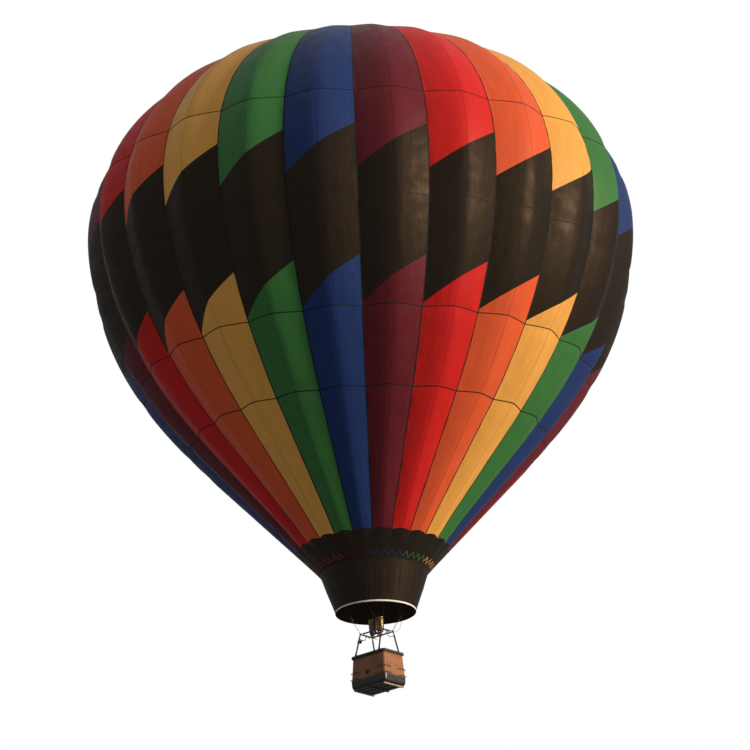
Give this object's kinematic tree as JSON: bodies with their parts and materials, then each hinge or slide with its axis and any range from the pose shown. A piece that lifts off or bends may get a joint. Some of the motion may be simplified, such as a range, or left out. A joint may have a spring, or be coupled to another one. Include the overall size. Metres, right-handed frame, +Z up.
{
  "type": "hot air balloon",
  "caption": "Hot air balloon: a sewn gored envelope with a parachute valve, a skirt, flying wires, a gimballed double burner and a wicker basket.",
  "frame": {"origin": "centre of the envelope's widest ring, where the air holds the balloon up", "axes": "+Z up along the envelope's axis, X along the basket's long side, Y along its short side"},
  "size_m": [19.998, 19.998, 24.596],
  "materials": {
    "coloured_nylon": "ripstop nylon, light sheen",
    "black_nylon": "ripstop nylon, light sheen",
    "webbing": "woven tape",
    "white_hem": "woven tape",
    "stainless_steel": "brushed",
    "coil_steel": "heat tinted",
    "hose_rubber": "matt",
    "red_line": "braided line",
    "cover_leather": "matt leather",
    "case_plastic": "matt",
    "wicker": "woven willow",
    "hide": "scuffed hide",
    "plywood": "varnished",
    "rope": "laid rope",
    "cylinder_aluminium": "brushed"
  },
  "bodies": {
    "balloon": {"envelope_top_panels": "coloured_nylon", "envelope_middle_panels": "coloured_nylon", "envelope_lower_panels": "coloured_nylon", "envelope_base_cone": "black_nylon", "crown_ring_and_tapes": "webbing", "skirt": "black_nylon", "skirt_hem": "white_hem", "flying_wires_1": "stainless_steel", "flying_wires_2": "stainless_steel", "flying_wires_3": "stainless_steel", "flying_wires_4": "stainless_steel", "load_frame": "stainless_steel", "fuel_hose_left": "hose_rubber", "fuel_hose_right": "hose_rubber", "control_line": "red_line", "line_guide": "stainless_steel", "upright_1": "cover_leather", "upright_2": "cover_leather", "upright_3": "cover_leather", "upright_4": "cover_leather", "instrument_case": "case_plastic", "padded_rim": "cover_leather", "wicker_walls": "wicker", "hide_band": "hide", "floor_and_skids": "plywood", "rope_handle_1_upper": "rope", "rope_handle_1_lower": "rope", "rope_handle_2_upper": "rope", "rope_handle_2_lower": "rope", "rope_handle_3_upper": "rope", "rope_handle_3_lower": "rope", "rope_handle_4_upper": "rope", "rope_handle_4_lower": "rope", "gas_cylinder_1": "cylinder_aluminium", "gas_cylinder_2": "cylinder_aluminium", "gas_cylinder_3": "cylinder_aluminium", "gas_cylinder_4": "cylinder_aluminium"},
    "vent_valve": {"parachute_valve": "coloured_nylon"},
    "gimbal": {"gimbal_ring": "stainless_steel", "hose_jumper_left": "hose_rubber", "hose_jumper_right": "hose_rubber"},
    "burner": {"burner_beam": "stainless_steel", "burner_can_left": "coil_steel", "burner_can_right": "coil_steel"}
  },
  "joints": [
    {"name": "vent_slide", "type": "slide", "parent": "balloon", "child": "vent_valve", "axis": [0, 0, -1], "range_m": [0, 1.2], "deforming": ["control_line"]},
    {"name": "gimbal_tilt", "type": "hinge", "parent": "balloon", "child": "gimbal", "pos_m": [0, 0, -14.9], "axis": [1, 0, 0], "range_deg": [-10, 10], "deforming": ["fuel_hose_left", "fuel_hose_right"]},
    {"name": "burner_tilt", "type": "hinge", "parent": "gimbal", "child": "burner", "pos_m": [0, 0, -14.9], "axis": [0, 1, 0], "range_deg": [-10, 10], "deforming": ["hose_jumper_left", "hose_jumper_right"]}
  ]
}
